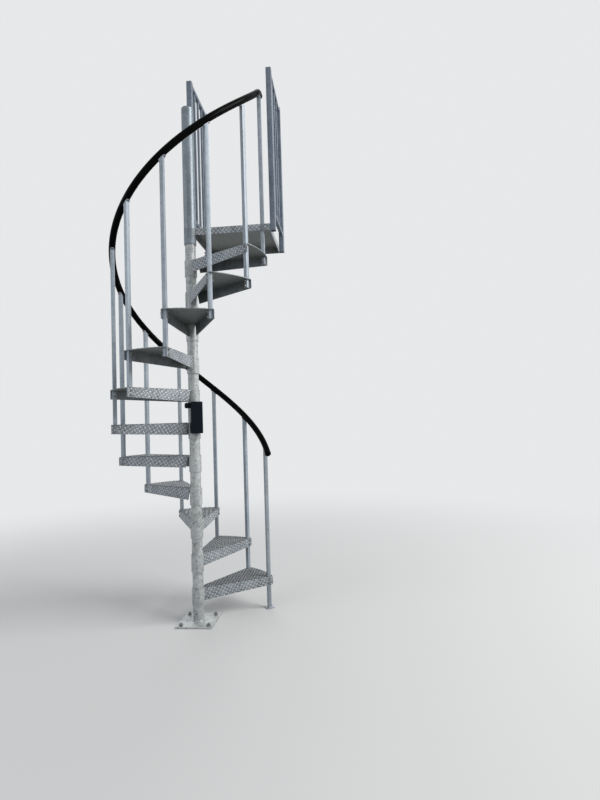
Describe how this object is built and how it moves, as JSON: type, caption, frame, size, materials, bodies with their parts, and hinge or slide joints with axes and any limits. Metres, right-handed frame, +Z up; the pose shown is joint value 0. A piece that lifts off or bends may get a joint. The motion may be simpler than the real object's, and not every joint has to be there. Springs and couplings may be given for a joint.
{
  "type": "spiral staircase",
  "caption": "Galvanised steel spiral staircase: wedge treads on a round centre pole, square balusters, coiled black handrail, and a top landing with guard panels on two sides.",
  "frame": {"origin": "On the pole axis at floor level, on the underside of the base plate.", "axes": "+Z up along the pole, +X along the front edge of the landing away from the pole, +Y across the landing towards the deck it leads to."},
  "size_m": [1.163, 1.094, 3.8602],
  "materials": {
    "tread_plate": "hot-dip galvanised raised-pattern plate, dull silver grey",
    "pole_steel": "hot-dip galvanised round tube, soft satin",
    "baluster_tube": "hot-dip galvanised square tube, satin",
    "guard_tube": "hot-dip galvanised square tube, satin",
    "cap_steel": "galvanised, satin",
    "rail_vinyl": "smooth black vinyl, low sheen",
    "box_black": "glossy blue-black moulding"
  },
  "bodies": {
    "root": {"base_plate": "pole_steel", "centre_pole": "pole_steel", "newel_sleeve": "pole_steel", "pole_cap": "cap_steel", "tread_01": "tread_plate", "tread_02": "tread_plate", "tread_03": "tread_plate", "tread_04": "tread_plate", "tread_05": "tread_plate", "tread_06": "tread_plate", "tread_07": "tread_plate", "tread_08": "tread_plate", "tread_09": "tread_plate", "tread_10": "tread_plate", "tread_11": "tread_plate", "landing": "tread_plate", "baluster_01": "baluster_tube", "baluster_02": "baluster_tube", "baluster_03": "baluster_tube", "baluster_04": "baluster_tube", "baluster_05": "baluster_tube", "baluster_06": "baluster_tube", "baluster_07": "baluster_tube", "baluster_08": "baluster_tube", "baluster_09": "baluster_tube", "baluster_10": "baluster_tube", "baluster_11": "baluster_tube", "baluster_12": "baluster_tube", "handrail": "rail_vinyl", "handrail_cap_bottom": "rail_vinyl", "handrail_cap_top": "rail_vinyl", "guard_left": "guard_tube", "guard_right": "guard_tube", "pole_box": "box_black"}
  },
  "joints": []
}
